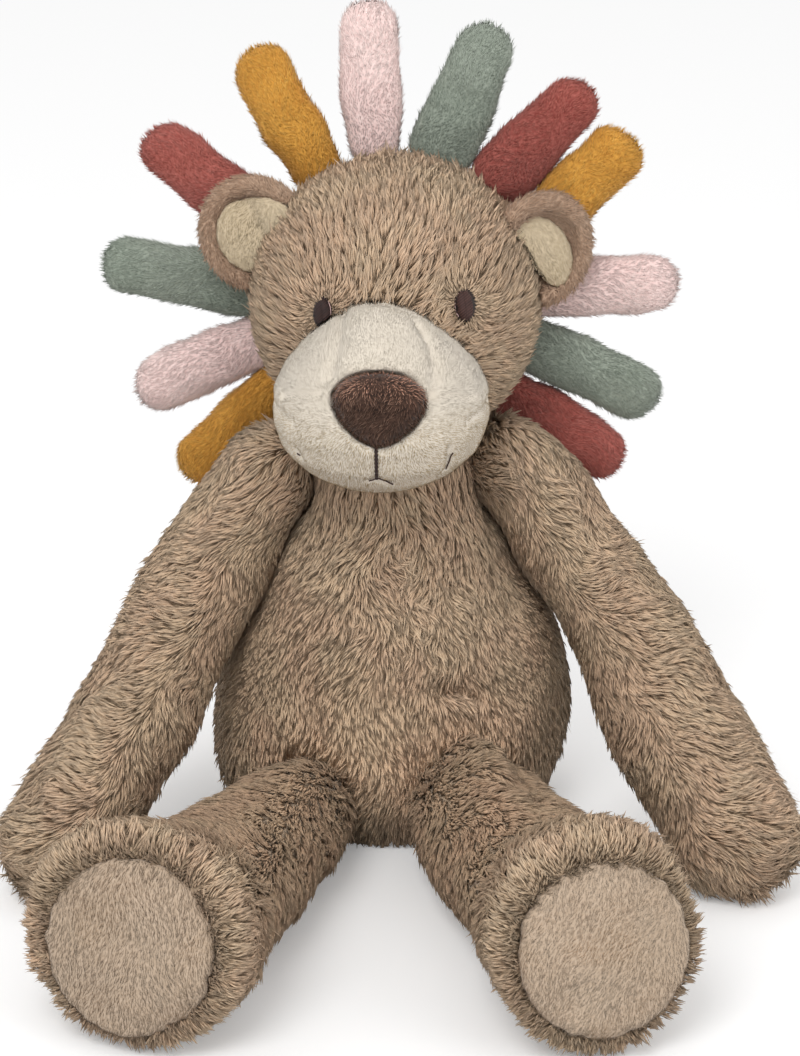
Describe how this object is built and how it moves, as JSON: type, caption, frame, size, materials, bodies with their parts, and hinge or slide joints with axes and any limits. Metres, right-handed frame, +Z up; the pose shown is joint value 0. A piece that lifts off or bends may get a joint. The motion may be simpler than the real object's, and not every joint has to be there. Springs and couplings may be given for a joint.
{
  "type": "plush lion",
  "caption": "Seated plush lion with a furred body, a cream muzzle, lined ears, a mane of stuffed fleece tabs, swinging arms and legs that end in bare sole pads.",
  "frame": {"origin": "middle of the flat of the seat, on the surface that the toy sits on", "axes": "+Z up, -Y the way the toy faces, +X to the viewer's right when it is seen from the front"},
  "size_m": [0.2694, 0.246, 0.2827],
  "materials": {
    "taupe_fur": "long plush pile in taupe brown, about 8 mm, brushed in swirls",
    "sole_pile": "short brushed pile in taupe brown",
    "ear_pile": "short dense pile in warm brown",
    "cream_pile": "short brushed pile in cream",
    "nose_pile": "short velvety pile in dark brown",
    "eye_thread": "satin stitch in dark plum brown thread",
    "mane_mustard": "short fuzzy fleece in mustard",
    "mane_pink": "short fuzzy fleece in pale pink",
    "mane_sage": "short fuzzy fleece in sage green",
    "mane_red": "short fuzzy fleece in dusty red"
  },
  "bodies": {
    "torso": {"torso": "taupe_fur"},
    "head": {"head": "taupe_fur", "muzzle_upper": "cream_pile", "muzzle_jaw": "cream_pile", "nose": "nose_pile", "eye_right": "eye_thread", "eye_left": "eye_thread", "ear_right": "ear_pile", "ear_lining_right": "cream_pile", "ear_left": "ear_pile", "ear_lining_left": "cream_pile"},
    "mane_tab_01": {"mane_tab_01": "mane_mustard"},
    "mane_tab_02": {"mane_tab_02": "mane_pink"},
    "mane_tab_03": {"mane_tab_03": "mane_sage"},
    "mane_tab_04": {"mane_tab_04": "mane_red"},
    "mane_tab_05": {"mane_tab_05": "mane_mustard"},
    "mane_tab_06": {"mane_tab_06": "mane_pink"},
    "mane_tab_07": {"mane_tab_07": "mane_sage"},
    "mane_tab_08": {"mane_tab_08": "mane_red"},
    "mane_tab_09": {"mane_tab_09": "mane_mustard"},
    "mane_tab_10": {"mane_tab_10": "mane_pink"},
    "mane_tab_11": {"mane_tab_11": "mane_sage"},
    "mane_tab_12": {"mane_tab_12": "mane_red"},
    "arm_right": {"arm_right": "taupe_fur"},
    "arm_left": {"arm_left": "taupe_fur"},
    "leg_right": {"leg_right": "taupe_fur", "sole_right": "sole_pile"},
    "leg_left": {"leg_left": "taupe_fur", "sole_left": "sole_pile"}
  },
  "joints": [
    {"name": "neck_nod", "type": "hinge", "parent": "torso", "child": "head", "pos_m": [0, -0.002, 0.132], "axis": [-1, 0, 0], "range_deg": [-8, 12], "stiffness_Nm_per_rad": 0.4},
    {"name": "shoulder_right", "type": "hinge", "parent": "torso", "child": "arm_right", "pos_m": [-0.045, -0.008, 0.122], "axis": [0, 1, 0], "range_deg": [0, 90]},
    {"name": "shoulder_left", "type": "hinge", "parent": "torso", "child": "arm_left", "pos_m": [0.045, -0.008, 0.122], "axis": [0, -1, 0], "range_deg": [0, 90]},
    {"name": "hip_right", "type": "hinge", "parent": "torso", "child": "leg_right", "pos_m": [-0.033, -0.052, 0.0165], "axis": [-1, 0, 0], "range_deg": [0, 45]},
    {"name": "hip_left", "type": "hinge", "parent": "torso", "child": "leg_left", "pos_m": [0.033, -0.052, 0.0165], "axis": [-1, 0, 0], "range_deg": [0, 45]},
    {"name": "mane_flex_01", "type": "hinge", "parent": "head", "child": "mane_tab_01", "pos_m": [-0.03597, 0.02194, 0.15018], "axis": [0.7176, -0.0502, -0.6947], "range_deg": [-8, 30], "stiffness_Nm_per_rad": 0.02},
    {"name": "mane_flex_02", "type": "hinge", "parent": "head", "child": "mane_tab_02", "pos_m": [-0.04415, 0.02274, 0.16352], "axis": [0.4373, -0.0306, -0.8988], "range_deg": [-8, 30], "stiffness_Nm_per_rad": 0.02},
    {"name": "mane_flex_03", "type": "hinge", "parent": "head", "child": "mane_tab_03", "pos_m": [-0.04815, 0.02301, 0.18171], "axis": [-0.1732, 0.0121, -0.9848], "range_deg": [-8, 30], "stiffness_Nm_per_rad": 0.02},
    {"name": "mane_flex_04", "type": "hinge", "parent": "head", "child": "mane_tab_04", "pos_m": [-0.04389, 0.02276, 0.20522], "axis": [-0.6142, 0.043, -0.788], "range_deg": [-8, 30], "stiffness_Nm_per_rad": 0.02},
    {"name": "mane_flex_05", "type": "hinge", "parent": "head", "child": "mane_tab_05", "pos_m": [-0.02633, 0.02169, 0.22548], "axis": [-0.8928, 0.0624, -0.4462], "range_deg": [-8, 30], "stiffness_Nm_per_rad": 0.02},
    {"name": "mane_flex_06", "type": "hinge", "parent": "head", "child": "mane_tab_06", "pos_m": [-0.00578, 0.02009, 0.23368], "axis": [-0.997, 0.0697, -0.0349], "range_deg": [-8, 30], "stiffness_Nm_per_rad": 0.02},
    {"name": "mane_flex_07", "type": "hinge", "parent": "head", "child": "mane_tab_07", "pos_m": [0.0159, 0.01829, 0.23238], "axis": [-0.9344, 0.0653, 0.3502], "range_deg": [-8, 30], "stiffness_Nm_per_rad": 0.02},
    {"name": "mane_flex_08", "type": "hinge", "parent": "head", "child": "mane_tab_08", "pos_m": [0.03511, 0.0176, 0.22155], "axis": [-0.7236, 0.0506, 0.6884], "range_deg": [-8, 30], "stiffness_Nm_per_rad": 0.02},
    {"name": "mane_flex_09", "type": "hinge", "parent": "head", "child": "mane_tab_09", "pos_m": [0.04777, 0.01624, 0.20266], "axis": [-0.7115, 0.0498, 0.7009], "range_deg": [-8, 30], "stiffness_Nm_per_rad": 0.02},
    {"name": "mane_flex_10", "type": "hinge", "parent": "head", "child": "mane_tab_10", "pos_m": [0.05117, 0.01606, 0.18209], "axis": [-0.0609, 0.0043, 0.9981], "range_deg": [-8, 30], "stiffness_Nm_per_rad": 0.02},
    {"name": "mane_flex_11", "type": "hinge", "parent": "head", "child": "mane_tab_11", "pos_m": [0.04691, 0.01641, 0.16278], "axis": [0.4216, -0.0295, 0.9063], "range_deg": [-8, 30], "stiffness_Nm_per_rad": 0.02},
    {"name": "mane_flex_12", "type": "hinge", "parent": "head", "child": "mane_tab_12", "pos_m": [0.03255, 0.01764, 0.14467], "axis": [0.5212, -0.0364, 0.8526], "range_deg": [0, 30], "stiffness_Nm_per_rad": 0.02}
  ]
}
